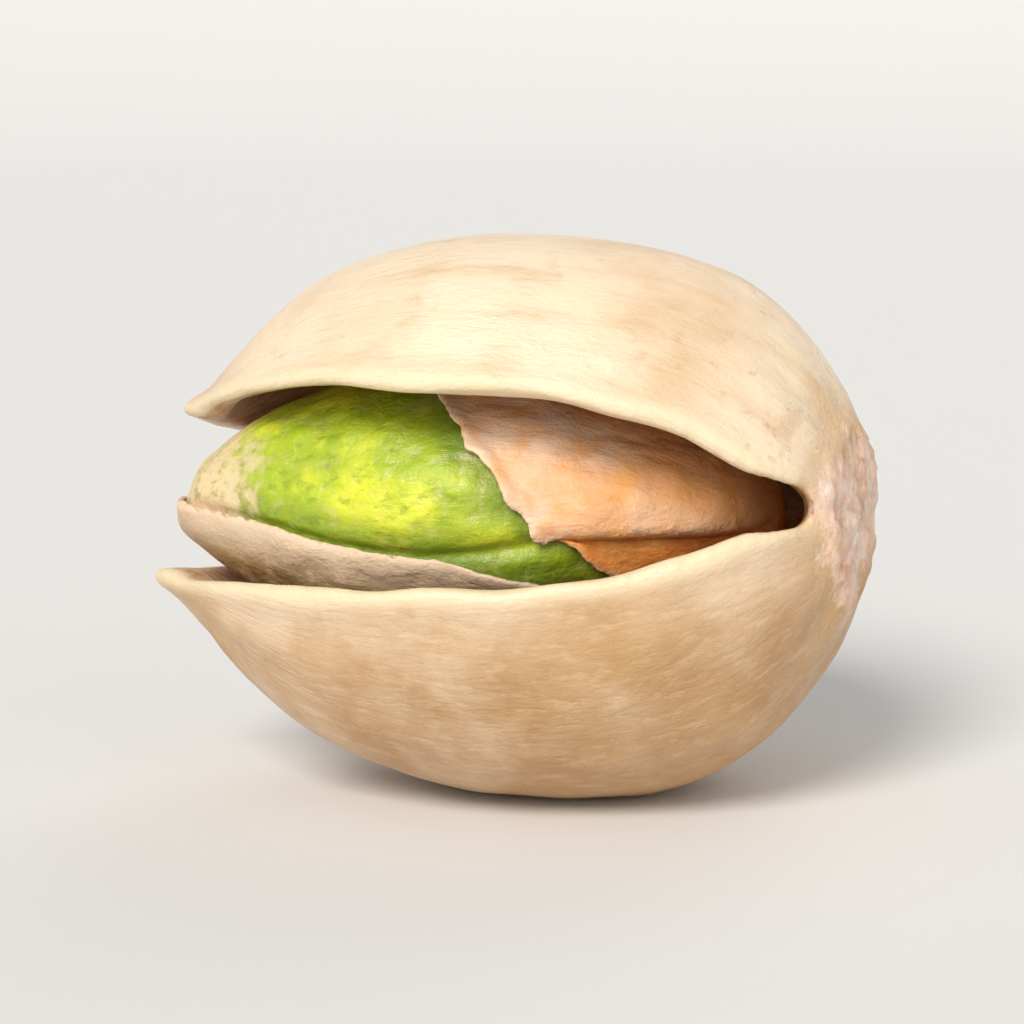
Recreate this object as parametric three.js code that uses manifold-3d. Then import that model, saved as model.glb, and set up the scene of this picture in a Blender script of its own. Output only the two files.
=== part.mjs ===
// A pistachio in its shell, sprung open, lying on one valve with the split to the front and a little upwards.
// Two pieces: the shell, whose two valves are still one piece around the stem end, and the kernel inside it.
// Millimetres. Nut frame: X runs from the beak (-) to the stem end (+), Y from the split edge (-) to the
// back edge (+), and Z from the lower valve (-) to the upper valve (+). Z = 0 is the plane of the seam.
import * as THREE from "three";
import { mergeVertices } from "three/addons/utils/BufferGeometryUtils.js";
import Module from "manifold-3d";

const wasm = await Module();
wasm.setup();

// ---- driving dimensions -------------------------------------------------------------------------------------
const NUT = {
  length: 21, // beak to stem end
  halfWidth: 6.8, // in the plane of the seam, at the widest place
  upperDepth: 6.4, // the upper valve, from the seam to its crown
  lowerDepth: 7.0, // the lower valve, from the seam to its crown
  fullness: 0.04, // how much fuller than an ellipse a section is at its diagonals
  beakOffset: 1.1, // the beak lies this far towards the back edge
};
const WALL = { side: 0.85, beak: 1.4, stem: 1.3 };
const SPLIT = {
  frontEnd: 8.2, // where the split stops on the front edge, close to the stem end
  backEnd: 2.5, // where it stops on the back edge
  endHalfHeight: 0.9, // the rounded end of the split, worn open by this much on each valve
  endLength: 2, // the length of that rounded end
  rimLoss: 0.3, // how far each rim lies from the plane of the seam before the valves spring open
  frontHalfGap: 2.65, // half of the gap that the front edge tends to
  frontRise: 3.6, // the length in which half of that gap opens
  crownReach: 1.8, // how much nearer the stem end the crowns start to move than the front edge does
  backHalfGap: 2.5, // half of the gap that the back edge tends to at the beaks
  backCurve: 1.3, // 1 would open the back edge in a straight line, and more opens it later
  beakReturn: 0.45, // how far each beak bends back towards the seam
  upperDrawBack: 0.6, // how far the upper beak has drawn back behind the lower one
  slotOverlap: 0.5, // how far the two slots run past each other, inside the hollow and at the beak
  roll: 0.19, // how far each valve has turned about the back edge, in radians
  pitch: 0.1, // how far each valve has turned about the stem end, in radians
};
const KERNEL = {
  length: 17.3,
  halfWidth: 4.7,
  upperDepth: 3.85,
  lowerDepth: 4.2,
  noseTaper: 0.34, // how much narrower the beak end is in the plane of the seam
  taperLength: 0.5, // the share of the length that this taper takes
  centre: [-0.75, 0.25, 0],
  tilt: THREE.MathUtils.degToRad(-0.5), // the beak end of the kernel sits a little low
  grooveDepth: 0.35, // the groove between its two halves
  grooveWidth: 0.5,
  grooveFade: 0.5, // the groove fades where the section is smaller than this share of the widest one
};
const REST = {
  roll: THREE.MathUtils.degToRad(-12), // the split edge is turned up by this much
  pitch: THREE.MathUtils.degToRad(2.6), // the stem end lies lower than the beaks by this much
  flatDepth: 0.12, // how much the resting spot takes off the lower valve's crown
};

const FACETS = {
  nutAlong: 44,
  nutAround: 56,
  hollowAlong: 34,
  hollowAround: 40,
  kernelAlong: 28,
  kernelAround: 32,
  bend: 6, // each quarter of the split's rounded end
};

const restingTurn = new THREE.Euler(REST.roll, REST.pitch, 0, "YXZ");

// ---- shapes -------------------------------------------------------------------------------------------------
// The outline of one half of the closed nut, from the beak (0, 0) over the crown to the stem end (1, 0).
const nutOutline = new THREE.SplineCurve([
  new THREE.Vector2(0, 0),
  new THREE.Vector2(0.025, 0.085),
  new THREE.Vector2(0.06, 0.19),
  new THREE.Vector2(0.14, 0.47),
  new THREE.Vector2(0.27, 0.77),
  new THREE.Vector2(0.42, 0.95),
  new THREE.Vector2(0.57, 1),
  new THREE.Vector2(0.72, 0.975),
  new THREE.Vector2(0.85, 0.865),
  new THREE.Vector2(0.94, 0.63),
  new THREE.Vector2(0.985, 0.33),
  new THREE.Vector2(1, 0),
]);
// The kernel's outline, from its blunt beak end to its slimmer stem end.
const kernelOutline = new THREE.SplineCurve([
  new THREE.Vector2(0, 0),
  new THREE.Vector2(0.012, 0.19),
  new THREE.Vector2(0.06, 0.42),
  new THREE.Vector2(0.16, 0.71),
  new THREE.Vector2(0.3, 0.93),
  new THREE.Vector2(0.46, 1),
  new THREE.Vector2(0.62, 0.96),
  new THREE.Vector2(0.78, 0.8),
  new THREE.Vector2(0.9, 0.56),
  new THREE.Vector2(0.975, 0.28),
  new THREE.Vector2(1, 0),
]);

// An ovoid along X: the outline turned about the X axis, then every vertex placed by the shape function,
// which gets the distance along X, and the vertex's place in its section as a share of the section's radius.
function ovoid(outline, stepsAlong, stepsAround, place) {
  const profile = outline.getSpacedPoints(stepsAlong).map((p) => new THREE.Vector2(p.y, p.x));
  profile[0].x = 0;
  profile.at(-1).x = 0;
  const lathe = new THREE.LatheGeometry(profile, stepsAround);
  lathe.rotateZ(-Math.PI / 2);
  return moved(lathe, (v) => place(v.x, v.y, v.z));
}

// A copy of a geometry, with every vertex moved by a function that returns its new place as [x, y, z].
function moved(geometry, move) {
  const made = geometry.clone();
  const position = made.getAttribute("position");
  const v = new THREE.Vector3();
  for (let i = 0; i < position.count; i++) {
    v.fromBufferAttribute(position, i);
    position.setXYZ(i, ...move(v));
  }
  return made;
}

// The closed nut, before it splits, drawn in from its true surface by an inset at the side, beak and stem end.
function closedNut(inset, stepsAlong, stepsAround) {
  const length = NUT.length - inset.beak - inset.stem;
  const start = -NUT.length / 2 + inset.beak;
  return ovoid(nutOutline, stepsAlong, stepsAround, (x, y, z) => {
    const around = Math.atan2(z, y);
    const full = 1 + NUT.fullness * Math.sin(2 * around) ** 2;
    const depth = (z > 0 ? NUT.upperDepth : NUT.lowerDepth) - inset.side;
    const along = start + x * length;
    const beakward = Math.max(0, -along / (NUT.length / 2));
    return [
      along,
      y * full * (NUT.halfWidth - inset.side) + NUT.beakOffset * beakward ** 2,
      z * full * depth,
    ];
  });
}

// How far each valve has moved off the seam, along the front edge and along the back edge, at a place along X.
function frontLift(x) {
  const open = Math.max(0, SPLIT.frontEnd - x);
  return (SPLIT.frontHalfGap * open ** 2) / (open ** 2 + SPLIT.frontRise ** 2);
}
function backLift(x) {
  const share = Math.max(0, (SPLIT.backEnd - x) / (SPLIT.backEnd + NUT.length / 2));
  return SPLIT.backHalfGap * share ** SPLIT.backCurve;
}

// Moves a point of the closed nut to where it is once the valves have sprung open.
function sprung(v) {
  const side = Math.sign(v.z);
  const height = Math.abs(v.z);
  const depth = side > 0 ? NUT.upperDepth : NUT.lowerDepth;
  // 0 on the back edge, 1 on the front edge, as a turn about the nut's long axis
  const turn = Math.atan2(height / depth, v.y / NUT.halfWidth) / Math.PI;
  const towardsFront = THREE.MathUtils.smoothstep(turn, 0, 1);
  const opened = frontLift(v.x - SPLIT.crownReach * Math.sin(turn * Math.PI));
  const lift = THREE.MathUtils.lerp(backLift(v.x), opened, towardsFront);
  const loose = opened / SPLIT.frontHalfGap;
  const nearBeak = THREE.MathUtils.smoothstep(-v.x, NUT.length / 4, NUT.length / 2);
  const drawnBack = side > 0 ? SPLIT.upperDrawBack * nearBeak : 0;
  return [
    v.x + height * SPLIT.pitch * loose + drawnBack,
    v.y + height * SPLIT.roll * loose,
    v.z + side * (lift - SPLIT.beakReturn * nearBeak),
  ];
}

// What the split takes off one edge of the closed nut: a slot along the seam, rounded where it ends.
// The edge is the front one for side -1, and the back one for side 1.
function seamSlot(side, end) {
  const far = NUT.length;
  const taper = end - SPLIT.endLength;
  const slot = new THREE.Shape();
  slot.moveTo(-far, -SPLIT.rimLoss);
  slot.lineTo(taper, -SPLIT.rimLoss);
  slot.quadraticCurveTo(end, -SPLIT.endHalfHeight, end, 0);
  slot.quadraticCurveTo(end, SPLIT.endHalfHeight, taper, SPLIT.rimLoss);
  slot.lineTo(-far, SPLIT.rimLoss);
  const depth = far + SPLIT.slotOverlap;
  const plate = new THREE.ExtrudeGeometry(slot, { depth, bevelEnabled: false, curveSegments: FACETS.bend });
  plate.rotateX(Math.PI / 2);
  return plate.translate(0, side > 0 ? far : SPLIT.slotOverlap, 0);
}

// ---- solids -------------------------------------------------------------------------------------------------
function solidOf(geometry) {
  const bare = geometry.clone();
  bare.deleteAttribute("normal");
  bare.deleteAttribute("uv");
  const merged = mergeVertices(bare, 1e-4);
  return new wasm.Manifold(
    new wasm.Mesh({
      numProp: 3,
      vertProperties: merged.getAttribute("position").array,
      triVerts: new Uint32Array(merged.index.array),
    }),
  );
}

function geometryOf(solid) {
  const mesh = solid.getMesh();
  return new THREE.BufferGeometry()
    .setAttribute("position", new THREE.BufferAttribute(new Float32Array(mesh.vertProperties), 3))
    .setIndex(new THREE.BufferAttribute(new Uint32Array(mesh.triVerts), 1));
}

// The shell: a hollow nut, slit along its seam, with the valves sprung apart.
function shellGeometry() {
  const outside = solidOf(closedNut({ side: 0, beak: 0, stem: 0 }, FACETS.nutAlong, FACETS.nutAround));
  const inside = solidOf(closedNut(WALL, FACETS.hollowAlong, FACETS.hollowAround));
  const hollow = outside.subtract(inside);
  const frontSlot = solidOf(seamSlot(-1, SPLIT.frontEnd));
  const backSlot = solidOf(seamSlot(1, SPLIT.backEnd));
  return moved(geometryOf(hollow.subtract(frontSlot).subtract(backSlot)), sprung);
}

// Takes the resting spot off the shell, level with the ground once the nut is turned to its resting pose.
function withRestingSpot(geometry) {
  const turn = new THREE.Matrix4().makeRotationFromEuler(restingTurn);
  const turned = geometry.clone().applyMatrix4(turn);
  turned.computeBoundingBox();
  const ground = turned.boundingBox.min.z + REST.flatDepth;
  const slab = new THREE.BoxGeometry(2 * NUT.length, 2 * NUT.length, NUT.length);
  slab.translate(0, 0, ground - NUT.length / 2);
  slab.applyMatrix4(turn.clone().invert());
  return geometryOf(solidOf(geometry).subtract(solidOf(slab)));
}

// The kernel: a plump seed with a groove round it between its two halves.
function kernelGeometry() {
  return ovoid(kernelOutline, FACETS.kernelAlong, FACETS.kernelAround, (x, y, z) => {
    const radius = Math.max(Math.hypot(y, z), KERNEL.grooveFade);
    const height = z * (z > 0 ? KERNEL.upperDepth : KERNEL.lowerDepth);
    const groove = KERNEL.grooveDepth * Math.exp(-((height / KERNEL.grooveWidth) ** 2));
    const drawnIn = 1 - groove / (KERNEL.halfWidth * radius);
    const slimmed = 1 - KERNEL.noseTaper * (1 - THREE.MathUtils.smoothstep(x, 0, KERNEL.taperLength));
    return [
      (x - 0.5) * KERNEL.length,
      y * KERNEL.halfWidth * drawnIn * slimmed,
      height,
    ];
  });
}

// ---- the nut ------------------------------------------------------------------------------------------------
const shell = new THREE.Mesh(
  withRestingSpot(shellGeometry()),
  new THREE.MeshStandardMaterial({ color: 0xe3c39a, roughness: 0.5, metalness: 0 }),
);
shell.name = "shell";

const kernel = new THREE.Mesh(
  kernelGeometry(),
  new THREE.MeshStandardMaterial({ color: 0x9aab2c, roughness: 0.45, metalness: 0 }),
);
kernel.name = "kernel";
kernel.position.set(...KERNEL.centre);
kernel.rotation.y = KERNEL.tilt;

const nut = new THREE.Group();
nut.add(shell, kernel);
nut.rotation.copy(restingTurn);

// The origin is on the ground, under the middle of the nut's box.
const part = new THREE.Group();
part.add(nut);
const box = new THREE.Box3().setFromObject(part, true);
nut.position.set(-(box.min.x + box.max.x) / 2, -(box.min.y + box.max.y) / 2, -box.min.z);

export default part;
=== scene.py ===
import math
import bmesh
import bpy
import numpy as np
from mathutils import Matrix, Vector, noise


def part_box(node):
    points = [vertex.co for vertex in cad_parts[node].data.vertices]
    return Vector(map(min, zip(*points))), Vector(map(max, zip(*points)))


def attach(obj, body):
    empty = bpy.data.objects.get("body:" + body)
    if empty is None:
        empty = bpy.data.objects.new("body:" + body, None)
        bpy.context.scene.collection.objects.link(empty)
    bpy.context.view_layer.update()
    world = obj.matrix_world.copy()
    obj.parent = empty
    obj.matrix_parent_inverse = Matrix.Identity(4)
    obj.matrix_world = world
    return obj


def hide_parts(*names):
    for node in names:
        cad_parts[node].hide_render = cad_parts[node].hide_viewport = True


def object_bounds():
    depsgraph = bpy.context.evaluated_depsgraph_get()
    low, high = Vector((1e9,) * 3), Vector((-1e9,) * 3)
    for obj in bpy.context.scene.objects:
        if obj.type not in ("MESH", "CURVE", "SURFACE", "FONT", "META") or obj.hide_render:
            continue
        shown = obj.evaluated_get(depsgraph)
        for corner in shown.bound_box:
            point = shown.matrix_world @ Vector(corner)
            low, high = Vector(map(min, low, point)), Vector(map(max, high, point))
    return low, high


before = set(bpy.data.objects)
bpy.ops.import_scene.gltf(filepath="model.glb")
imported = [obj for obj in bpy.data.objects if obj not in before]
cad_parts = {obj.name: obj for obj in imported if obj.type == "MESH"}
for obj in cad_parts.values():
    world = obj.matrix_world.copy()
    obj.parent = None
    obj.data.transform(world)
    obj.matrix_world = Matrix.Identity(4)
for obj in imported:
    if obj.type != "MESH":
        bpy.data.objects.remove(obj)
cadLow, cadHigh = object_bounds()
mm = 0.001
seed = 7
outlineSteps = 400    # points on the smooth curve through an outline


def note(stage):
    print("pistachio:", stage)


def readPoints(piece):
    points = np.empty(len(piece.data.vertices) * 3)
    piece.data.vertices.foreach_get("co", points)
    return points.reshape(-1, 3)


def writePoints(piece, points):
    piece.data.vertices.foreach_set("co", points.ravel())
    piece.data.update()


def readNormals(piece):
    normals = np.empty(len(piece.data.vertices) * 3)
    piece.data.vertex_normals.foreach_get("vector", normals)
    return normals.reshape(-1, 3)


def keepValues(piece, name, values):
    piece.data.attributes.new(name, "FLOAT", "POINT").data.foreach_set("value", values)


def keepPlaces(piece, name, places):
    piece.data.attributes.new(name, "FLOAT_VECTOR", "POINT").data.foreach_set("vector", places.ravel())


def rampUp(values, low, high):
    t = np.clip((values - low) / (high - low), 0, 1)
    return t * t * (3 - 2 * t)


def hill(values, width):
    return np.exp(-((values / width) ** 2))


def reliefOf(places, kind):
    # soft random heights; kind is their height, the size across of a lump, and the number of their pattern
    height, size, pattern = kind
    shift = Vector((seed + pattern, pattern, 0))
    return height * np.array([noise.noise(Vector(place) / size + shift) for place in places])


def onlyThis(piece):
    bpy.ops.object.select_all(action="DESELECT")
    piece.select_set(True)
    bpy.context.view_layer.objects.active = piece


def applyModifier(piece, kind, **values):
    onlyThis(piece)
    added = piece.modifiers.new(kind.lower(), kind)
    for key, value in values.items():
        setattr(added, key, value)
    bpy.ops.object.modifier_apply(modifier=added.name)


def newBall(name, faces):
    # a ball of radius 1 whose poles lie on X, to be shaped into a nut or a kernel
    bpy.ops.object.select_all(action="DESELECT")
    bpy.ops.mesh.primitive_uv_sphere_add(segments=faces, ring_count=faces, radius=1, location=(0, 0, 0))
    ball = bpy.context.object
    ball.name = name
    ball.data.name = name
    bpy.ops.object.mode_set(mode="EDIT")
    bpy.ops.mesh.select_all(action="SELECT")
    bpy.ops.transform.rotate(value=math.pi / 2, orient_axis="Y", center_override=(0, 0, 0))
    bpy.ops.object.mode_set(mode="OBJECT")
    return ball


def splineThrough(knots):
    # a smooth curve through the knots, as evenly timed points
    knots = np.array(knots)
    ends = np.vstack([knots[:1], knots, knots[-1:]])
    times = np.linspace(0, len(knots) - 1, outlineSteps)
    index = np.minimum(times.astype(int), len(knots) - 2)
    t = (times - index)[:, None]
    a, b, c, d = ends[index], ends[index + 1], ends[index + 2], ends[index + 3]
    return 0.5 * (2 * b + (c - a) * t + (2 * a - 5 * b + 4 * c - d) * t**2 + (3 * b - a - 3 * c + d) * t**3)


def readOutline(p, knots):
    # for the points of a ball: the share of the length and of the half width that they take, and their angle
    outline = splineThrough(knots)
    steps = np.arccos(np.clip(-p[:, 0], -1, 1)) / math.pi * (outlineSteps - 1)
    along = np.interp(steps, np.arange(outlineSteps), outline[:, 0])
    out = np.interp(steps, np.arange(outlineSteps), outline[:, 1])
    return along, out, np.arctan2(p[:, 2], p[:, 1])


def alongLine(line, values):
    line = np.array(line)
    return np.interp(values, line[:, 0], line[:, 1])


# the closed nut, in mm: it lies along X, with its seam in the plane z = 0
nut = {
    "length": 21.0,
    "halfWidth": 6.8,
    "upperDepth": 6.4,
    "lowerDepth": 7.0,
    "fullness": 0.04,
    "beakOffset": 1.1,
    "restRoll": -12.0,       # degrees, the split edge is turned up a little
    "restPitch": 2.6,        # degrees, the stem end lies a little lower than the beaks
    "flatDepth": 0.12,
    "outline": [(0, 0), (0.025, 0.085), (0.06, 0.19), (0.14, 0.47), (0.27, 0.77), (0.42, 0.95),
                (0.57, 1), (0.72, 0.975), (0.85, 0.865), (0.94, 0.63), (0.985, 0.33), (1, 0)],
}
split = {
    "frontEnd": 8.2,
    "backEnd": 2.5,
    "endHalfHeight": 0.9,
    "endLength": 2.0,
    "rimLoss": 0.3,
    "frontHalfGap": 2.65,
    "frontRise": 3.6,
    "crownReach": 1.8,
    "backHalfGap": 2.5,
    "backCurve": 1.3,
    "beakReturn": 0.45,      # how much nearer the two tips stay
    "upperDrawBack": 0.6,    # how far the upper valve's tip lies stemward of the lower one's
    "roll": 0.19,
    "pitch": 0.1,
    "slotSteps": 13,         # points on the curve that rounds the slot's end
    "slotOverlap": 0.5,      # the slots from the two edges pass the middle by this much
}


def sectionSize(angle, inset):
    # how far the closed nut's surface lies from its long axis, in the plane of the seam and across it
    full = 1 + nut["fullness"] * np.sin(2 * angle) ** 2
    depth = np.where(np.sin(angle) > 0, nut["upperDepth"], nut["lowerDepth"])
    return full * (nut["halfWidth"] - inset), full * (depth - inset)


def beakShift(x):
    beakward = np.maximum(0, -x / (nut["length"] / 2))
    return nut["beakOffset"] * beakward**2


def shapeNut(ball, side, beak, stem):
    # the ball's latitude picks a point of the outline, its longitude the place in the section
    along, out, angle = readOutline(readPoints(ball), nut["outline"])
    x = -nut["length"] / 2 + beak + along * (nut["length"] - beak - stem)
    wide, deep = sectionSize(angle, side)
    shaped = np.column_stack([x, np.cos(angle) * out * wide + beakShift(x), np.sin(angle) * out * deep])
    writePoints(ball, shaped * mm)


def frontLift(x):
    opened = np.maximum(0, split["frontEnd"] - x)
    return split["frontHalfGap"] * opened**2 / (opened**2 + split["frontRise"] ** 2)


def backLift(x):
    share = np.maximum(0, (split["backEnd"] - x) / (split["backEnd"] + nut["length"] / 2))
    return split["backHalfGap"] * share ** split["backCurve"]


def springOpen(p):
    # moves points of the closed nut to where they are once the valves have sprung apart
    x, y, z = p.T
    height = np.abs(z)
    depth = np.where(z > 0, nut["upperDepth"], nut["lowerDepth"])
    turn = np.arctan2(height / depth, y / nut["halfWidth"]) / math.pi
    opened = frontLift(x - split["crownReach"] * np.sin(turn * math.pi))
    lift = backLift(x) + (opened - backLift(x)) * rampUp(turn, 0, 1)
    loose = opened / split["frontHalfGap"]
    nearBeak = rampUp(-x, nut["length"] / 4, nut["length"] / 2)
    return np.column_stack([
        x + height * split["pitch"] * loose + split["upperDrawBack"] * nearBeak * (z > 0),
        y + height * split["roll"] * loose,
        z + np.sign(z) * (lift - split["beakReturn"] * nearBeak),
    ])


def turned(p, tilt):
    # turned about Y, the stem end down
    x, y, z = p.T
    cosine, sine = math.cos(tilt), math.sin(tilt)
    return np.column_stack([x * cosine + z * sine, y, z * cosine - x * sine])


def layDown(p):
    # turns the opened nut to the way it lies
    roll = math.radians(nut["restRoll"])
    x, y, z = p.T
    rolled = [x, y * math.cos(roll) - z * math.sin(roll), y * math.sin(roll) + z * math.cos(roll)]
    return turned(np.column_stack(rolled), math.radians(nut["restPitch"]))


def fitToFrame(p, low, high):
    # the laid-down points, in mm, brought exactly into a box of the frame, in metres
    size = (np.array(high) - np.array(low)) / (p.max(0) - p.min(0))
    return (p - p.min(0)) * size + np.array(low)


shellLook = {
    "ballFaces": 96,
    "hollowFaces": 72,
    "wallSide": 0.85,
    "wallBeak": 1.4,
    "wallStem": 1.3,
    "grain": 0.147,          # mm, the size of the fine mesh's faces
    "lipSmoothing": 8,
    "endRounding": 0.8,
    # relief, each as its height, the size across of a lump, both in mm, and the number of its pattern
    "swell": (0.14, 4.5, 0),
    "dents": (0.04, 1.5, 3),
    "grooves": (0.055, 0.62, 5),
    "threads": (0.02, 0.2, 8),
    "stemFolds": (0.13, 0.55, 12),
    "scarFibres": (0.14, 0.4, 14),
    "scarPits": (0.084, 0.3, 17),
    "inside": (0.04, 2.0, 21),
    "sutureWander": (0.12, 1.6, 23),
    "rimWave": (0.2, 2.4, 25),
    "lowerWander": (0.8, 3.0, 29),
    # where things fade in or out, as two places in mm
    "outsideFade": (0.12, 0.5),
    "innerFade": (0.35, 0.7),
    "beakFade": (-10.4, -8.5),
    "stemFade": (9.2, 10.4),
    "sutureStart": (-0.3, 0.8),
    "lowerEdge": (-3.0, 1.0),
    "grooveStretch": 0.1,    # grooves and threads run ten times as far along the nut as across it
    "ringSize": 3.0,
    "ringClosing": 2.2,      # mm from each end over which the lengthwise grooves close up
    "ringLeast": 0.02,
    "streakSpread": (1, 1.7, 1.7),
    "lipBead": 0.09,
    "lipWidth": 0.35,
    "lipEnd": (-1, 1),
    "waveReach": 0.9,
    "waveStart": 2.5,
    "waveStretch": 0.3,
    "wavesApart": 9,         # so that the two rims wave each in its own way
    "sutureDepth": 0.1,
    "sutureWidth": 0.24,
    "scarCentre": (9.3, -3.0, 0.1),
    "scarSize": (2.0, 2.1, 2.4),
    # round the scar, places are shares of its size, 1 at its edge
    "scarEdge": (0.85, 1.15),
    "scarRing": 0.1,
    "scarRingPlace": 0.95,
    "scarRingWidth": 0.16,
    "scarHollow": 0.12,
    "scarHollowEdge": (0.3, 0.9),
    "stemFoldReach": (1.6, 3.2),
    "scarRays": 2.2,
    "scarRayStretch": 0.35,
}


def cutSlot(shell, side, end):
    # the split along one edge of the closed nut: a thin slot that widens a little to a rounded end
    far = nut["length"]
    taper = end - split["endLength"]
    t = np.linspace(0, 1, split["slotSteps"])
    x = (1 - t) ** 2 * taper + (1 - (1 - t) ** 2) * end
    z = (1 - t) ** 2 * split["rimLoss"] + 2 * t * (1 - t) * split["endHalfHeight"]
    upper = np.column_stack([np.append(-far, x), np.append(split["rimLoss"], z)])
    outline = np.vstack([upper, upper[-2::-1] * (1, -1)])
    near, away = -side * split["slotOverlap"], side * far
    bpy.ops.object.select_all(action="DESELECT")
    bpy.ops.mesh.primitive_circle_add(vertices=len(outline), radius=1, fill_type="NGON", location=(0, 0, 0))
    slot = bpy.context.object
    slot.name = "slotCutter"
    writePoints(slot, np.column_stack([outline[:, 0], np.full(len(outline), near), outline[:, 1]]) * mm)
    bpy.ops.object.mode_set(mode="EDIT")
    bpy.ops.mesh.select_all(action="SELECT")
    bpy.ops.mesh.extrude_region_move(TRANSFORM_OT_translate={"value": (0, (away - near) * mm, 0)})
    bpy.ops.mesh.select_all(action="SELECT")
    bpy.ops.mesh.normals_make_consistent(inside=False)
    bpy.ops.object.mode_set(mode="OBJECT")
    applyModifier(shell, "BOOLEAN", operation="DIFFERENCE", object=slot, solver="EXACT")
    bpy.data.objects.remove(slot)


def fromScar(p):
    return (p - np.array(shellLook["scarCentre"])) / np.array(shellLook["scarSize"])


def splitEnd(y):
    return np.where(y < 0, split["frontEnd"], split["backEnd"])


def shellFields(p):
    # where each point of the closed shell is: round the nut, in from the outside, from the rim, from the scar
    x, y, z = p.T
    angle = np.arctan2(z, y - beakShift(x))
    outline = splineThrough(nut["outline"])
    along = (x + nut["length"] / 2) / nut["length"]
    out = np.interp(along, outline[:, 0], outline[:, 1])
    wide, deep = sectionSize(angle, 0)
    reach = np.hypot((y - beakShift(x)) / wide, z / deep)
    depthIn = np.minimum((out - reach) * np.minimum(wide, deep), nut["length"] / 2 - np.abs(x))
    pastEnd = np.maximum(0, x - splitEnd(y)) * shellLook["endRounding"]
    fromRim = np.hypot(np.maximum(0, np.abs(z) - split["rimLoss"]), pastEnd)
    return angle, depthIn, fromRim, np.linalg.norm(fromScar(p), axis=1)


def meridians(p, angle):
    # the distance along the nut, and a place on a ring round it that closes up towards the two ends
    fromEnd = (nut["length"] / 2 - np.abs(p[:, 0])) / shellLook["ringClosing"]
    ring = shellLook["ringSize"] * np.sqrt(np.clip(fromEnd, shellLook["ringLeast"], 1))
    return np.column_stack([p[:, 0], np.cos(angle) * ring, np.sin(angle) * ring])


def roundScar(p):
    # unit directions round the scar, as places that a random pattern can follow outwards
    side = fromScar(p)
    turn = np.arctan2(side[:, 2], side[:, 1])
    rays = shellLook["scarRays"]
    outwards = np.linalg.norm(side, axis=1) * shellLook["scarRayStretch"]
    return np.column_stack([np.cos(turn) * rays, np.sin(turn) * rays, outwards])


def sutureLine(p):
    # 1 on the closed seam between the end of the back split and the stem, 0 away from it
    line = hill(p[:, 2] + reliefOf(p, shellLook["sutureWander"]), shellLook["sutureWidth"])
    return line * rampUp(p[:, 0] - split["backEnd"], *shellLook["sutureStart"])


def roughenShell(shell):
    look = shellLook
    p = readPoints(shell) / mm
    normals = readNormals(shell)
    x, y, z = p.T
    angle, depthIn, fromRim, scar = shellFields(p)
    outside = 1 - rampUp(depthIn, *look["outsideFade"])
    betweenEnds = rampUp(x, *look["beakFade"]) * (1 - rampUp(x, *look["stemFade"]))
    scarred = 1 - rampUp(scar, *look["scarEdge"])

    swell = reliefOf(p, look["swell"]) + reliefOf(p, look["dents"])
    lengthwise = meridians(p, angle) * (look["grooveStretch"], 1, 1)
    grooves = (reliefOf(lengthwise, look["grooves"]) + reliefOf(lengthwise, look["threads"])) * betweenEnds
    bead = look["lipBead"] * hill(fromRim - look["lipWidth"], look["lipWidth"])
    bead = bead * (1 - rampUp(x - split["frontEnd"], *look["lipEnd"]))
    folds = reliefOf(roundScar(p), look["stemFolds"]) * (1 - rampUp(scar, *look["stemFoldReach"]))
    suture = look["sutureDepth"] * sutureLine(p)
    body = swell + bead - suture + (grooves + folds) * (1 - scarred)

    ring = look["scarRing"] * hill(scar - look["scarRingPlace"], look["scarRingWidth"])
    hollow = look["scarHollow"] * (1 - rampUp(scar, *look["scarHollowEdge"]))
    fibres = scarred * (reliefOf(roundScar(p), look["scarFibres"]) + reliefOf(p, look["scarPits"]))
    height = outside * (body + ring - hollow + fibres) + (1 - outside) * reliefOf(p, look["inside"])
    p = p + normals * height[:, None]

    waved = hill(fromRim, look["waveReach"]) * rampUp(splitEnd(y) - x, 0, look["waveStart"])
    places = np.column_stack([x, np.sign(z) * look["wavesApart"], y * look["waveStretch"]])
    p[:, 2] += waved * reliefOf(places, look["rimWave"])
    writePoints(shell, p * mm)


def makeShell():
    look = shellLook
    shell = newBall("nutShell", look["ballFaces"])
    shapeNut(shell, 0, 0, 0)
    hollow = newBall("hollowCutter", look["hollowFaces"])
    shapeNut(hollow, look["wallSide"], look["wallBeak"], look["wallStem"])
    applyModifier(shell, "BOOLEAN", operation="DIFFERENCE", object=hollow, solver="EXACT")
    bpy.data.objects.remove(hollow)
    cutSlot(shell, -1, split["frontEnd"])
    cutSlot(shell, 1, split["backEnd"])
    note("shell cut")

    applyModifier(shell, "REMESH", mode="VOXEL", voxel_size=look["grain"] * mm)
    applyModifier(shell, "SMOOTH", factor=0.5, iterations=look["lipSmoothing"])
    note(f"shell remeshed, {len(shell.data.vertices)} points")
    roughenShell(shell)

    # what the material needs to know of the closed shell is kept on the points before they are sprung open
    p = readPoints(shell) / mm
    angle, depthIn, fromRim, scar = shellFields(p)
    keepPlaces(shell, "closedPlace", meridians(p, angle) * look["streakSpread"])
    keepValues(shell, "inner", rampUp(depthIn, *look["innerFade"]))
    keepValues(shell, "fromRim", fromRim)
    keepValues(shell, "scar", scar)
    keepValues(shell, "suture", sutureLine(p))
    # the lower valve, which the material darkens with painted shade
    keepValues(shell, "lower", 1 - rampUp(p[:, 2] + reliefOf(p, look["lowerWander"]), *look["lowerEdge"]))

    laid = layDown(springOpen(p))
    laid[:, 2] = np.maximum(laid[:, 2], laid[:, 2].min() + nut["flatDepth"])
    low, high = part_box("shell")
    writePoints(shell, fitToFrame(laid, low, high))
    return shell


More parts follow.
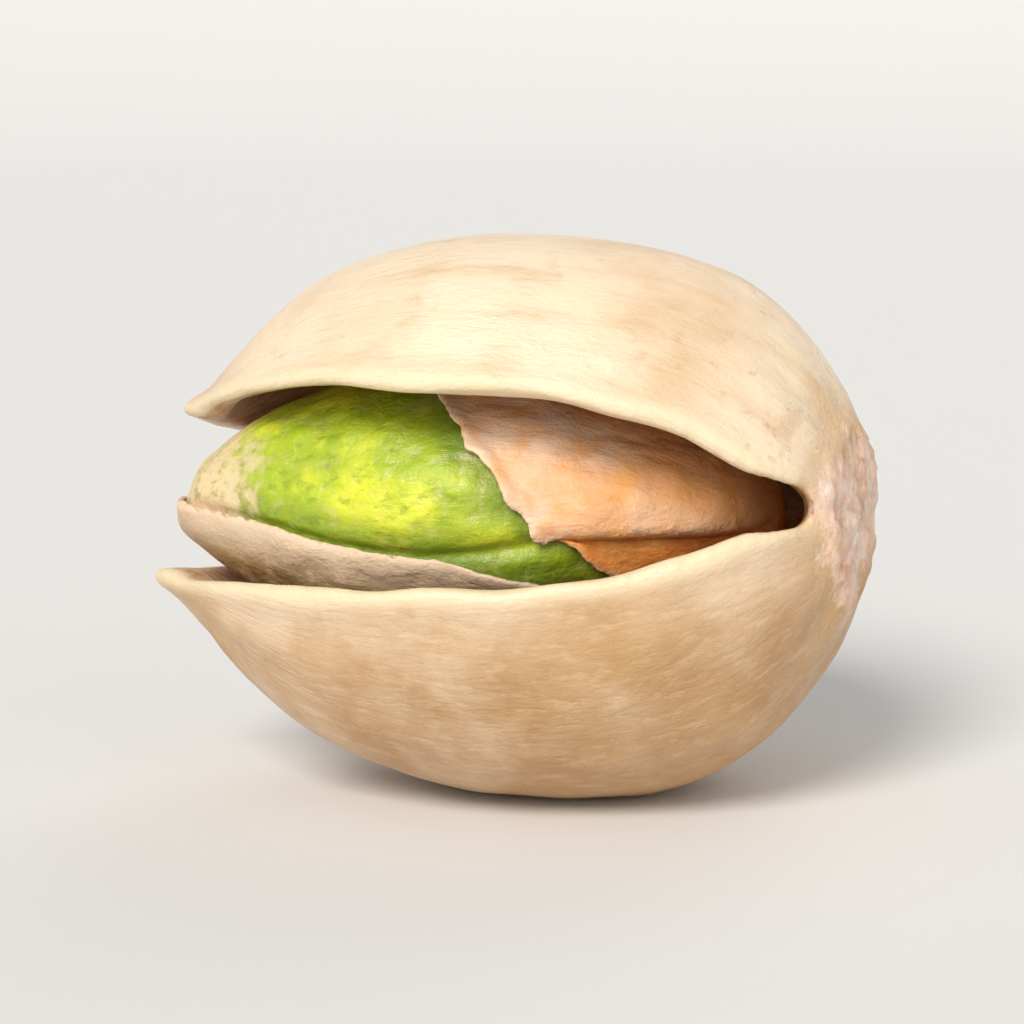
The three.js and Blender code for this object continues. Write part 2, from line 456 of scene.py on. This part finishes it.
kernelLook = {
    "length": 17.3,
    "halfWidth": 4.7,
    "upperDepth": 3.85,
    "lowerDepth": 4.2,
    "outline": [(0, 0), (0.012, 0.19), (0.06, 0.42), (0.16, 0.71), (0.3, 0.93), (0.46, 1),
                (0.62, 0.96), (0.78, 0.8), (0.9, 0.56), (0.975, 0.28), (1, 0)],
    "noseTaper": 0.34,
    "taperLength": 0.5,      # as a share of the kernel's length
    "tilt": -0.5,            # degrees
    "grooveDepth": 0.35,
    "grooveWidth": 0.5,
    "grooveStart": (-0.2, 0.3),
    "grooveFade": 0.5,
    "ballFaces": 72,
    "grain": 0.11,           # mm, the size of the fine mesh's faces
    "smoothing": 4,
    # relief, each as its height, the size across of a lump, both in mm, and the number of its pattern
    "wrinkles": (0.045, 0.5, 31),
    "lumps": (0.1, 2.6, 33),
    "pebbles": (0.05, 0.75, 35),
    "noseWander": (0.6, 0.9, 51),
    "wrinkleStretch": 0.3,
    # the crease between the two halves on the split side, as (x, height) in mm
    "crease": [(-9.6, 8.35), (-7.3, 8.0), (-5.7, 7.66), (-3.8, 7.42), (-1.8, 7.4), (0.3, 7.7), (1.5, 8.05),
               (4, 8.0), (8, 7.8)],
    "creaseDepth": 0.22,
    "creaseWidth": 0.22,
    "creaseStart": (-9.8, -9.0),
    "creaseSide": (-0.5, 1.5),
    # stemward of the tear the upper half stands out over the lower one in a fold
    "foldStep": 0.42,
    "foldStart": (0.6, 2.0),
    "foldEnd": (5.5, 7.6),
    "foldRise": (-0.12, 0.12),
    "foldFade": (0.5, 2.6),
    "foldSink": 0.35,
    # the kernel's tip, just below the crease, juts out in a small lip
    "noseLip": 0.35,
    "noseLipStart": (8.2, 9.4),
    "noseLipWidth": 0.7,
    "noseEdge": (-8.4, -6.6),
}
skinLook = {
    # the torn edge, as (height, x) in mm, and the upper edge of the strip left along the lower half of the
    # kernel, as (x, height)
    "tear": [(5.5, 3.3), (6.47, 3.1), (6.99, 2.6), (7.74, 1.7), (8.04, 0.6), (9.39, -0.35), (10.73, -1.45),
             (11.8, -2.3)],
    "strip": [(-9.6, 8.3), (-7.3, 8.0), (-5.7, 7.62), (-3.8, 7.38), (-1.8, 7.3), (0.3, 6.8), (2.15, 6.35),
              (3.3, 6.2)],
    "backEdge": 1.7,         # mm, over the top the skin starts again this far behind the middle
    "overTop": (6.5, 9),
    # how the edge strays, each as its reach, the size across of a lump, and the number of its pattern
    "tatters": (0.22, 1.1, 41),
    "nicks": (0.11, 0.4, 43),
    "backWander": (1.2, 3.0, 45),
    "stripWander": (0.6, 1.6, 49),
    "stripRaggedness": 0.3,  # the strip's edge is this much as ragged as the tear
    "cornerRadius": 0.3,     # where the strip runs into the skin on the back
    "edgeEasing": 4,
    "clearance": 0.02,       # mm off the flesh
    "curl": 0.12,
    "curlVaries": (0.16, 0.9, 47),
    "curlWidth": 0.3,
    "thickness": 0.14,
    # where the colours change, as two places in mm
    "foldEdge": (-0.15, 0.1),
    "stripEnd": (1.5, 3.6),
    "stripEdge": (0, 0.3),
    "backStart": (-1.5, 1.5),
}


def shapeKernel(ball):
    look = kernelLook
    p = readPoints(ball)
    along, out, angle = readOutline(p, look["outline"])
    slim = 1 - look["noseTaper"] * (1 - rampUp(along, 0, look["taperLength"]))
    x = (along - 0.5) * look["length"]
    z = np.sin(angle) * out * np.where(p[:, 2] > 0, look["upperDepth"], look["lowerDepth"])
    groove = look["grooveDepth"] * hill(z, look["grooveWidth"]) * rampUp(p[:, 1], *look["grooveStart"])
    drawnIn = 1 - groove / (look["halfWidth"] * np.maximum(out, look["grooveFade"]))
    y = np.cos(angle) * out * look["halfWidth"] * drawnIn * slim
    writePoints(ball, np.column_stack([x, y, z]) * mm)


def tearField(p):
    # how far inside the seed skin each point of the kernel lies, in mm; negative where the flesh is bare
    look = skinLook
    x, y, z = p.T
    ragged = reliefOf(p, look["tatters"]) + reliefOf(p, look["nicks"])
    stemward = x - alongLine(look["tear"], z)
    below = alongLine(look["strip"], x) - z
    behind = y - look["backEdge"] * rampUp(z, *look["overTop"]) - reliefOf(p, look["backWander"]) + ragged
    corner = look["cornerRadius"]
    left = corner * np.logaddexp((below + look["stripRaggedness"] * ragged) / corner, behind / corner)
    return np.maximum(stemward, left) + ragged * (stemward > below)


def creaseKernel(kernel):
    # the crease on the split side, the fold stemward of the tear, and the lips and pebbles of the flesh
    look = kernelLook
    p = readPoints(kernel) / mm
    normals = readNormals(kernel)
    x, y, z = p.T
    fromCrease = z - alongLine(look["crease"], x)
    folded = rampUp(x, *look["foldStart"]) * (1 - rampUp(x, *look["foldEnd"]))
    crease = look["creaseDepth"] * hill(fromCrease, look["creaseWidth"]) * rampUp(x, *look["creaseStart"])
    step = rampUp(fromCrease, *look["foldRise"]) * (1 - rampUp(fromCrease, *look["foldFade"]))
    fold = look["foldStep"] * folded * (step - look["foldSink"])
    height = rampUp(-y, *look["creaseSide"]) * (fold - crease * (1 - folded))
    height += reliefOf(p, look["lumps"]) + reliefOf(p, look["pebbles"])
    height += reliefOf(p * (look["wrinkleStretch"], 1, 1), look["wrinkles"])
    lip = hill(fromCrease + look["noseLipWidth"], look["noseLipWidth"]) * rampUp(-x, *look["noseLipStart"])
    p = p + normals * height[:, None]
    p[:, 0] -= look["noseLip"] * lip
    return p


def makeKernel():
    look = kernelLook
    kernel = newBall("nutKernel", look["ballFaces"])
    shapeKernel(kernel)
    applyModifier(kernel, "REMESH", mode="VOXEL", voxel_size=look["grain"] * mm)
    applyModifier(kernel, "SMOOTH", factor=0.5, iterations=look["smoothing"])
    tilted = turned(readPoints(kernel) / mm, math.radians(look["tilt"]))
    low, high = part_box("kernel")
    writePoints(kernel, fitToFrame(layDown(tilted), low, high))
    writePoints(kernel, fitToFrame(creaseKernel(kernel), low, high))
    p = readPoints(kernel) / mm
    # how far into the bare flesh each point lies, which the material uses for painted shade near the skin's
    # edges
    keepValues(kernel, "bareDepth", -tearField(p))
    keepValues(kernel, "nose", 1 - rampUp(p[:, 0] + reliefOf(p, look["noseWander"]), *look["noseEdge"]))
    return kernel


def easeEdge(skin, p):
    # draws each point of the open edge towards its neighbours on that edge, so that it runs clean
    skin.data.update()
    working = bmesh.new()
    working.from_mesh(skin.data)
    rim = [(e.verts[0].index, e.verts[1].index) for e in working.edges if e.is_boundary]
    working.free()
    one, two = np.array(rim).T
    for _ in range(skinLook["edgeEasing"]):
        total, count = np.zeros_like(p), np.zeros(len(p))
        for near, far in ((one, two), (two, one)):
            np.add.at(total, near, p[far])
            np.add.at(count, near, 1)
        on = count > 0
        p[on] = 0.5 * p[on] + 0.5 * total[on] / count[on][:, None]
    return p


def dropBareFaces(skin):
    # deletes the faces that lie wholly outside the tear line
    mesh = skin.data
    field = tearField(readPoints(skin) / mm)
    corners = np.empty(len(mesh.loops), dtype=np.int64)
    mesh.loops.foreach_get("vertex_index", corners)
    starts = np.empty(len(mesh.polygons), dtype=np.int64)
    mesh.polygons.foreach_get("loop_start", starts)
    touches = np.maximum.reduceat(field[corners], starts) > 0
    bpy.ops.object.mode_set(mode="EDIT")
    bpy.ops.mesh.select_mode(type="FACE")
    bpy.ops.mesh.select_all(action="DESELECT")
    bpy.ops.object.mode_set(mode="OBJECT")
    mesh.polygons.foreach_set("select", ~touches)
    bpy.ops.object.mode_set(mode="EDIT")
    bpy.ops.mesh.delete(type="FACE")
    bpy.ops.object.mode_set(mode="OBJECT")


def moveToTear(skin):
    # the skin's points, with those just outside the tear line brought onto it
    p = readPoints(skin) / mm
    field = tearField(p)
    ends = np.empty(len(skin.data.edges) * 2, dtype=np.int64)
    skin.data.edges.foreach_get("vertices", ends)
    moved = np.zeros_like(p)
    count = np.zeros(len(p))
    for near, far in (ends.reshape(-1, 2).T, ends.reshape(-1, 2).T[::-1]):
        crossing = (field[near] < 0) & (field[far] > 0)
        near, far = near[crossing], far[crossing]
        share = (field[near] / (field[near] - field[far]))[:, None]
        np.add.at(moved, near, p[near] + (p[far] - p[near]) * share)
        np.add.at(count, near, 1)
    snapped = count > 0
    p[snapped] = moved[snapped] / count[snapped][:, None]
    return p


def makeSkin(kernel):
    # a copy of the kernel's surface inside the tear line, cut clean along it, then given a thickness
    look = skinLook
    onlyThis(kernel)
    bpy.ops.object.duplicate()
    skin = bpy.context.object
    skin.name = "seedSkin"
    dropBareFaces(skin)
    p = easeEdge(skin, moveToTear(skin))
    atEdge = hill(np.maximum(tearField(p), 0), look["curlWidth"])
    lift = look["clearance"] + atEdge * (look["curl"] + reliefOf(p, look["curlVaries"]))
    writePoints(skin, (p + readNormals(skin) * lift[:, None]) * mm)
    applyModifier(skin, "SOLIDIFY", thickness=look["thickness"] * mm, offset=1)
    applyModifier(skin, "SMOOTH", factor=0.4, iterations=2)

    p = readPoints(skin) / mm
    x, y, z = p.T
    fromCrease = z - alongLine(kernelLook["crease"], x)
    beakward = 1 - rampUp(x + reliefOf(p, look["stripWander"]), *look["stripEnd"])
    belowStrip = 1 - rampUp(z - alongLine(look["strip"], x), *look["stripEdge"])
    keepValues(skin, "fromTear", tearField(p))
    keepValues(skin, "belowFold", 1 - rampUp(fromCrease, *look["foldEdge"]))
    keepValues(skin, "strip", beakward * belowStrip)
    keepValues(skin, "behind", rampUp(y, *look["backStart"]))
    return skin


def newMaterial(name):
    material = bpy.data.materials.new(name)
    material.use_nodes = True
    return material, material.node_tree, material.node_tree.nodes["Principled BSDF"]


def feed(tree, socket, value):
    # links a socket, or sets a number or a colour
    if isinstance(value, bpy.types.NodeSocket):
        tree.links.new(value, socket)
    elif isinstance(value, tuple) and len(value) == 3 and socket.type == "RGBA":
        socket.default_value = (*value, 1)
    else:
        socket.default_value = value


def attributeOf(tree, name, part="Fac"):
    node = tree.nodes.new("ShaderNodeAttribute")
    node.attribute_name = name
    return node.outputs[part]


def placeOf(tree, source, stretch):
    # a place in mm, stretched along an axis for streaks
    node = tree.nodes.new("ShaderNodeMapping")
    feed(tree, node.inputs["Vector"], source)
    node.inputs["Scale"].default_value = stretch
    return node.outputs["Vector"]


def objectPlace(tree, stretch=(1000, 1000, 1000)):
    return placeOf(tree, tree.nodes.new("ShaderNodeTexCoord").outputs["Object"], stretch)


def grainOf(tree, place, scale, detail=3.0, roughness=0.5, distortion=0.0):
    node = tree.nodes.new("ShaderNodeTexNoise")
    feed(tree, node.inputs["Vector"], place)
    node.inputs["Scale"].default_value = scale
    node.inputs["Detail"].default_value = detail
    node.inputs["Roughness"].default_value = roughness
    node.inputs["Distortion"].default_value = distortion
    return node.outputs["Fac"]


def between(tree, value, low, high, start=0.0, end=1.0):
    node = tree.nodes.new("ShaderNodeMapRange")
    node.interpolation_type = "SMOOTHSTEP"
    for key, number in (("From Min", low), ("From Max", high), ("To Min", start), ("To Max", end)):
        node.inputs[key].default_value = number
    feed(tree, node.inputs["Value"], value)
    return node.outputs["Result"]


def maths(tree, kind, first, second):
    node = tree.nodes.new("ShaderNodeMath")
    node.operation = kind
    feed(tree, node.inputs[0], first)
    feed(tree, node.inputs[1], second)
    return node.outputs["Value"]


def blendColours(tree, share, first, second):
    node = tree.nodes.new("ShaderNodeMix")
    node.data_type = "RGBA"
    feed(tree, node.inputs["Factor"], share)
    feed(tree, node.inputs[6], first)
    feed(tree, node.inputs[7], second)
    return node.outputs[2]


def tint(tree, colour, tone, pattern, low, high, most):
    # blends a tone into the colour as the pattern goes from low to high, up to a share of most
    return blendColours(tree, between(tree, pattern, low, high, 0, most), colour, tone)


def bumpFrom(tree, height, depth, strength, under=None):
    # a relief of that depth, in mm, on top of the relief under it
    node = tree.nodes.new("ShaderNodeBump")
    node.inputs["Strength"].default_value = strength
    node.inputs["Distance"].default_value = depth * mm
    feed(tree, node.inputs["Height"], height)
    if under is not None:
        feed(tree, node.inputs["Normal"], under)
    return node.outputs["Normal"]


def letLightIn(shader, colours):
    # light goes a little way into the piece, further in some colours than in others
    shader.inputs["Subsurface Weight"].default_value = colours["subsurface"]
    shader.inputs["Subsurface Radius"].default_value = colours["lightReach"]
    shader.inputs["Subsurface Scale"].default_value = colours["lightDepth"] * mm


shellColours = {
    "cream": (0.87, 0.70, 0.50),
    "tan": (0.66, 0.43, 0.22),
    # painted shade: the brown that darkens the lower valve, as if it were in shade
    "paintedLowerShade": (0.44, 0.23, 0.08),
    "ochre": (0.56, 0.33, 0.13),
    "stain": (0.50, 0.29, 0.12),
    "freckle": (0.48, 0.23, 0.08),
    "lip": (0.89, 0.73, 0.48),
    "inside": (0.62, 0.38, 0.18),
    "deepInside": (0.42, 0.21, 0.08),
    "scar": (0.84, 0.56, 0.43),
    "scarPale": (0.90, 0.74, 0.63),
    "scarDark": (0.50, 0.27, 0.16),
    "subsurface": 0.1,
    "lightReach": (1.0, 0.55, 0.3),
    "lightDepth": 0.6,       # mm
}


def shellMaterial():
    material, tree, shader = newMaterial("woodyShell")
    c = shellColours
    place = objectPlace(tree)
    closed = attributeOf(tree, "closedPlace", "Vector")
    streaks = grainOf(tree, placeOf(tree, closed, (0.16, 1, 1)), 1.6, 5, 0.6)
    threads = grainOf(tree, placeOf(tree, closed, (0.22, 1, 1)), 6.5, 3, 0.6)
    clouds = grainOf(tree, place, 0.17, 3, 0.5)
    blotches = grainOf(tree, place, 0.5, 5, 0.62, 0.3)
    specks = grainOf(tree, place, 2.1, 4, 0.75)
    fine = grainOf(tree, place, 9.0, 4, 0.65)
    closedAxes = tree.nodes.new("ShaderNodeSeparateXYZ")
    feed(tree, closedAxes.inputs[0], closed)
    stemward = between(tree, closedAxes.outputs["X"], 1.0, 9.5)
    beakward = between(tree, closedAxes.outputs["X"], -6.5, -10.3)
    lower = attributeOf(tree, "lower")
    inner = attributeOf(tree, "inner")

    # the outside: cream clouded with tan, with painted shade darkening the lower valve to a brown, with faint
    # streaks, stains and freckles
    colour = blendColours(tree, between(tree, clouds, 0.43, 0.74), c["cream"], c["tan"])
    # painted shade: the lower valve is darkened to a brown in patches, as if shaded from above
    paintedLowerShade = maths(tree, "MULTIPLY", lower, between(tree, blotches, 0.3, 0.7, 0.5, 0.85))
    colour = blendColours(tree, paintedLowerShade, colour, c["paintedLowerShade"])
    colour = tint(tree, colour, c["ochre"], streaks, 0.5, 0.78, 0.42)
    colour = tint(tree, colour, c["ochre"], threads, 0.54, 0.8, 0.2)
    colour = tint(tree, colour, c["lip"], threads, 0.48, 0.3, 0.2)
    colour = tint(tree, colour, c["stain"], blotches, 0.57, 0.74, 0.4)
    moreAtStem = between(tree, stemward, 0, 1, 0.05, 0.5)
    freckled = maths(tree, "MULTIPLY", between(tree, specks, 0.58, 0.72), moreAtStem)
    colour = blendColours(tree, freckled, colour, c["freckle"])
    colour = blendColours(tree, maths(tree, "MULTIPLY", beakward, 0.35), colour, c["ochre"])
    seam = maths(tree, "MULTIPLY", attributeOf(tree, "suture"), between(tree, blotches, 0.3, 0.6, 0.25, 0.6))
    colour = blendColours(tree, seam, colour, c["freckle"])
    lip = between(tree, attributeOf(tree, "fromRim"), 0.75, 0.15, 0, 0.8)
    colour = blendColours(tree, lip, colour, c["lip"])

    # the inner wall, darker and browner
    inside = blendColours(tree, between(tree, streaks, 0.35, 0.65), c["inside"], c["deepInside"])
    colour = blendColours(tree, inner, colour, inside)

    # the fibrous scar at the stem end, with a brown edge
    scar = maths(tree, "ADD", attributeOf(tree, "scar"), between(tree, blotches, 0.3, 0.7, -0.28, 0.28))
    scar = maths(tree, "ADD", scar, between(tree, specks, 0.3, 0.7, -0.12, 0.12))
    outerOnly = between(tree, inner, 1, 0)
    scarred = maths(tree, "MULTIPLY", between(tree, scar, 1.2, 0.8), outerOnly)
    browned = maths(tree, "MULTIPLY", between(tree, scar, 1.75, 1.05, 0, 0.5), outerOnly)
    mottle = grainOf(tree, place, 1.2, 5, 0.65, 0.3)
    scarColour = blendColours(tree, between(tree, mottle, 0.35, 0.55), c["scarPale"], c["scar"])
    scarColour = tint(tree, scarColour, c["scarDark"], mottle, 0.53, 0.68, 0.75)
    colour = blendColours(tree, browned, colour, c["ochre"])
    colour = blendColours(tree, maths(tree, "MULTIPLY", scarred, 0.9), colour, scarColour)

    feed(tree, shader.inputs["Base Color"], colour)
    blotchy = between(tree, blotches, 0.3, 0.7, 0.32, 0.46)
    dullness = maths(tree, "ADD", blotchy, between(tree, fine, 0.3, 0.7, -0.05, 0.05))
    dullness = maths(tree, "ADD", dullness, maths(tree, "MULTIPLY", scarred, 0.22))
    feed(tree, shader.inputs["Roughness"], dullness)
    relief = bumpFrom(tree, threads, 0.09, 0.6)
    relief = bumpFrom(tree, fine, 0.035, 0.6, relief)
    feed(tree, shader.inputs["Normal"], relief)
    letLightIn(shader, c)
    return material


fleshColours = {
    "green": (0.38, 0.50, 0.02),
    "yellow": (0.72, 0.76, 0.04),
    "deep": (0.13, 0.22, 0.012),
    "nose": (0.78, 0.60, 0.36),
    "nosePink": (0.80, 0.50, 0.34),
    "noseOlive": (0.36, 0.27, 0.09),
    "subsurface": 0.18,
    "lightReach": (0.9, 1.0, 0.2),
    "lightDepth": 0.7,       # mm
}


def fleshMaterial():
    material, tree, shader = newMaterial("greenFlesh")
    c = fleshColours
    place = objectPlace(tree)
    clouds = grainOf(tree, place, 0.42, 3, 0.5, 0.3)
    pebbles = grainOf(tree, place, 1.9, 4, 0.6)
    fibres = grainOf(tree, objectPlace(tree, (260, 1000, 1000)), 3.2, 4, 0.6)
    colour = blendColours(tree, between(tree, clouds, 0.38, 0.62), c["green"], c["yellow"])
    # yellow on the tops of the pebbles: partly painted highlight, partly the flesh's own yellow
    colour = tint(tree, colour, c["yellow"], pebbles, 0.55, 0.75, 0.5)
    colour = tint(tree, colour, c["deep"], fibres, 0.5, 0.3, 0.5)
    # painted shade: the bare green darkens towards the skin's edges, as in the shade of the lifted skin and
    # of the upper valve
    bareDepth = attributeOf(tree, "bareDepth")
    colour = tint(tree, colour, c["deep"], bareDepth, 1.3, 0.05, 0.75)
    # the dry tip, cream and pink with olive flecks, which breaks up into the green
    tip = blendColours(tree, between(tree, clouds, 0.4, 0.6), c["nose"], c["nosePink"])
    tip = tint(tree, tip, c["noseOlive"], pebbles, 0.5, 0.66, 0.65)
    broken = maths(tree, "ADD", attributeOf(tree, "nose"), between(tree, pebbles, 0.3, 0.7, 0.3, -0.3))
    colour = tint(tree, colour, tip, broken, 0.0, 1.0, 0.9)
    feed(tree, shader.inputs["Base Color"], colour)
    feed(tree, shader.inputs["Roughness"], between(tree, pebbles, 0.3, 0.7, 0.34, 0.5))
    relief = bumpFrom(tree, pebbles, 0.16, 0.7)
    relief = bumpFrom(tree, fibres, 0.08, 0.7, relief)
    feed(tree, shader.inputs["Normal"], relief)
    letLightIn(shader, c)
    return material


skinColours = {
    "salmon": (0.96, 0.50, 0.25),
    "blush": (0.97, 0.68, 0.48),
    "orange": (0.95, 0.40, 0.09),
    "terracotta": (0.80, 0.26, 0.05),
    "mauve": (0.66, 0.50, 0.33),
    "umber": (0.30, 0.18, 0.06),
    "plum": (0.30, 0.12, 0.08),
    "rust": (0.52, 0.20, 0.08),
    "subsurface": 0.12,
    "lightReach": (1.0, 0.4, 0.25),
    "lightDepth": 0.5,       # mm
}


def skinMaterial():
    material, tree, shader = newMaterial("seedSkinPaper")
    c = skinColours
    place = objectPlace(tree)
    clouds = grainOf(tree, place, 0.4, 3, 0.5, 0.2)
    patches = grainOf(tree, place, 0.9, 5, 0.6, 0.15)
    veins = grainOf(tree, objectPlace(tree, (280, 1000, 1000)), 2.4, 6, 0.65, 0.2)
    mottle = grainOf(tree, place, 3.2, 4, 0.65)
    fine = grainOf(tree, place, 8.0, 3, 0.6)
    fromTear = attributeOf(tree, "fromTear")

    # stemward of the tear: pink above the fold and terracotta below it
    upper = blendColours(tree, between(tree, clouds, 0.35, 0.65), c["salmon"], c["blush"])
    upper = tint(tree, upper, c["blush"], fromTear, 1.6, 0.4, 0.7)
    upper = tint(tree, upper, c["orange"], patches, 0.42, 0.7, 0.7)
    upper = tint(tree, upper, c["orange"], fromTear, 3.0, 6.0, 0.6)
    under = blendColours(tree, between(tree, patches, 0.35, 0.7), c["terracotta"], c["orange"])
    colour = blendColours(tree, attributeOf(tree, "belowFold"), upper, under)

    # the strip left along the lower half, paler at its edge and darker umber lower down, partly the skin's
    # own brown and partly painted shade, and the purple-brown back
    # partly painted shade: the strip darkens from mauve to umber away from its edge, lower on the kernel
    strip = blendColours(tree, between(tree, fromTear, 0.35, 1.5), c["mauve"], c["umber"])
    strip = tint(tree, strip, c["blush"], patches, 0.5, 0.72, 0.5)
    colour = blendColours(tree, attributeOf(tree, "strip"), colour, strip)
    back = blendColours(tree, between(tree, patches, 0.35, 0.7), c["plum"], c["rust"])
    back = tint(tree, back, c["mauve"], clouds, 0.5, 0.7, 0.4)
    colour = blendColours(tree, attributeOf(tree, "behind"), colour, back)
    colour = tint(tree, colour, c["plum"], veins, 0.58, 0.8, 0.3)
    colour = tint(tree, colour, c["blush"], mottle, 0.55, 0.75, 0.25)
    colour = tint(tree, colour, c["blush"], fromTear, 0.2, 0.0, 0.5)

    feed(tree, shader.inputs["Base Color"], colour)
    feed(tree, shader.inputs["Roughness"], between(tree, patches, 0.3, 0.7, 0.42, 0.6))
    relief = bumpFrom(tree, veins, 0.14, 0.8)
    relief = bumpFrom(tree, mottle, 0.06, 0.6, relief)
    relief = bumpFrom(tree, fine, 0.03, 0.6, relief)
    feed(tree, shader.inputs["Normal"], relief)
    letLightIn(shader, c)
    return material


def finishPiece(piece, material, node):
    piece.data.materials.clear()
    piece.data.materials.append(material)
    onlyThis(piece)
    bpy.ops.object.shade_smooth()
    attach(piece, "root")
    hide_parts(node)


shell = makeShell()
finishPiece(shell, shellMaterial(), "shell")
kernel = makeKernel()
skin = makeSkin(kernel)
finishPiece(kernel, fleshMaterial(), "kernel")
finishPiece(skin, skinMaterial(), "kernel")
note(f"kernel and skin made, {len(kernel.data.vertices)} and {len(skin.data.vertices)} points")


studio = {
    "floorRadius": 0.5,      # m, the level middle of the floor
    "floorSides": 96,
    # the rings round it, each as its width in m and how steeply it rises in degrees
    "floorRise": [(0.1, 4), (0.1, 8), (0.1, 12), (0.1, 16), (6, 20)],
    "floorRim": 0.001,
    "floorColour": (0.78, 0.77, 0.75),
    "floorRoughness": 0.9,
    "worldColour": (0.95, 0.97, 1.0),
    "worldStrength": 0.36,
    # each light as its name, where it comes from, its spread in degrees, its power and its colour
    "lights": [
        ("keyLight", (-0.45, -1.0, 0.9), 24, 2.55, (1, 0.97, 0.93)),
        ("frontLight", (-0.2, -1.0, 0.2), 30, 1.1, (1, 0.98, 0.95)),
        ("fillLight", (0.9, -0.9, 0.5), 50, 0.3, (0.96, 0.98, 1)),
        ("backLight", (0.5, 1.0, 0.8), 40, 0.5, (1, 0.98, 0.96)),
    ],
    "lightDistance": 0.3,
    "elevation": 9.0,        # degrees, how high the camera stands
    "lens": 100.0,
    "distance": 0.082,
    "nearest": 0.005,        # m, what lies nearer to the camera isn't drawn
}


def makeFloor():
    # a round pale sheet that rises a little all round, so that no horizon shows from any side
    bpy.ops.object.select_all(action="DESELECT")
    radius, sides = studio["floorRadius"], studio["floorSides"]
    bpy.ops.mesh.primitive_circle_add(vertices=sides, radius=radius, fill_type="NGON", location=(0, 0, 0))
    floor = bpy.context.object
    floor.name = "floor"
    bpy.ops.object.mode_set(mode="EDIT")
    bpy.ops.mesh.select_all(action="SELECT")
    bpy.ops.mesh.inset(thickness=studio["floorRim"], depth=0)
    bpy.ops.object.mode_set(mode="OBJECT")
    points = readPoints(floor)
    outer = np.hypot(points[:, 0], points[:, 1]) > radius - studio["floorRim"] / 2
    bpy.ops.object.mode_set(mode="EDIT")
    bpy.ops.mesh.select_mode(type="EDGE")
    bpy.ops.mesh.select_all(action="DESELECT")
    bpy.ops.object.mode_set(mode="OBJECT")
    for edge in floor.data.edges:
        edge.select = bool(outer[list(edge.vertices)].all())
    bpy.ops.object.mode_set(mode="EDIT")
    for width, slope in studio["floorRise"]:
        lift = width * math.tan(math.radians(slope))
        bpy.ops.mesh.extrude_region_move(TRANSFORM_OT_translate={"value": (0, 0, lift)})
        grow = 1 + width / radius
        bpy.ops.transform.resize(value=(grow, grow, 1), center_override=(0, 0, 0))
        radius += width
    bpy.ops.object.mode_set(mode="OBJECT")
    bpy.ops.object.shade_smooth()
    material, _, shader = newMaterial("floorPaper")
    shader.inputs["Base Color"].default_value = (*studio["floorColour"], 1)
    shader.inputs["Roughness"].default_value = studio["floorRoughness"]
    floor.data.materials.append(material)


def addLight(name, towards, softness, power, colour):
    # a broad, even light from a direction; softness is its spread in degrees
    bpy.ops.object.light_add(type="SUN", location=Vector(towards) * studio["lightDistance"])
    light = bpy.context.object
    light.name = name
    light.data.angle = math.radians(softness)
    light.data.energy = power
    light.data.color = colour
    light.rotation_euler = Vector(towards).to_track_quat("Z", "Y").to_euler()


def makeStudio():
    makeFloor()
    world = bpy.data.worlds.new("studio")
    bpy.context.scene.world = world
    world.use_nodes = True
    back = world.node_tree.nodes["Background"]
    back.inputs["Color"].default_value = (*studio["worldColour"], 1)
    back.inputs["Strength"].default_value = studio["worldStrength"]
    for light in studio["lights"]:
        addLight(*light)

    centre = (cadLow + cadHigh) / 2
    rise = math.radians(studio["elevation"])
    offset = Vector((0, -math.cos(rise), math.sin(rise))) * studio["distance"]
    aim = (-offset).to_track_quat("-Z", "Y").to_euler()
    bpy.ops.object.camera_add(location=centre + offset, rotation=aim)
    camera = bpy.context.object
    camera.data.lens = studio["lens"]
    camera.data.clip_start = studio["nearest"]
    bpy.context.scene.camera = camera


makeStudio()
bpy.context.scene.view_settings.view_transform = "Standard"
note("studio set")
